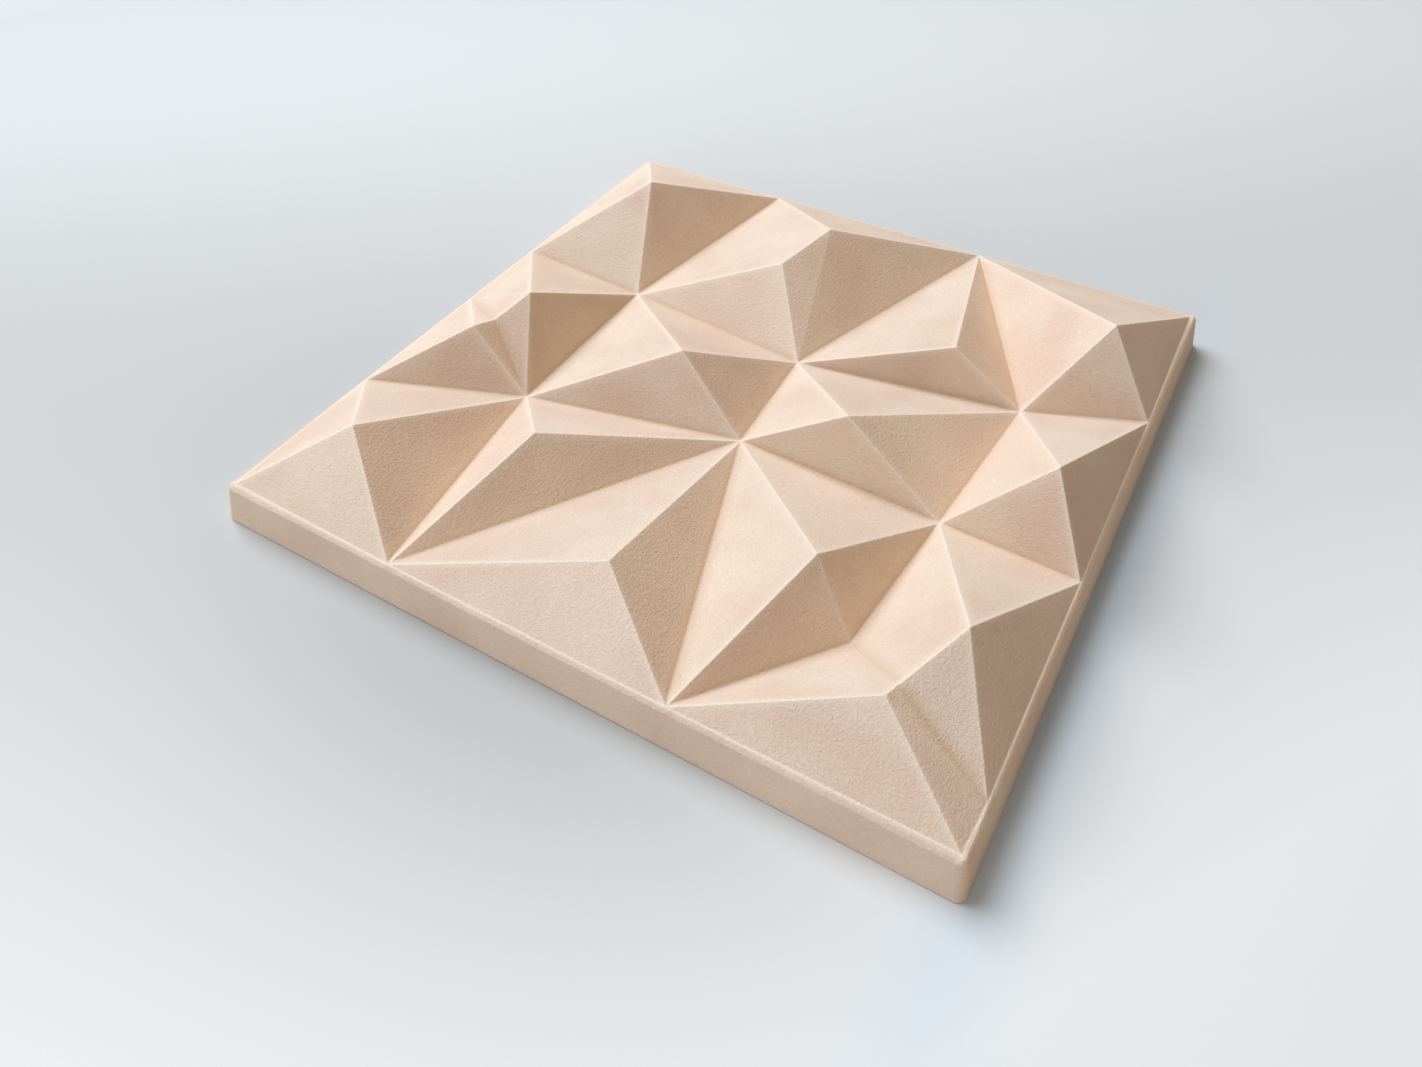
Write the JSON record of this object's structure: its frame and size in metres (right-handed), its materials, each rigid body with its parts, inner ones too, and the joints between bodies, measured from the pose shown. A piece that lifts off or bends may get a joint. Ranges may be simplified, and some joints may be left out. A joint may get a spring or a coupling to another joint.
{
  "type": "acoustic panel",
  "caption": "Square acoustic wall panel, moulded in one piece, with a flat back, a narrow rim and a relief of tilted triangular facets that scatters sound.",
  "frame": {"origin": "centre of the flat back face", "axes": "+Z out of the relief, +X to the right along the front side, +Y to the far side"},
  "size_m": [0.6, 0.6, 0.094],
  "materials": {
    "pressed_felt": "matt"
  },
  "bodies": {
    "root": {"acoustic_panel": "pressed_felt"}
  },
  "joints": []
}
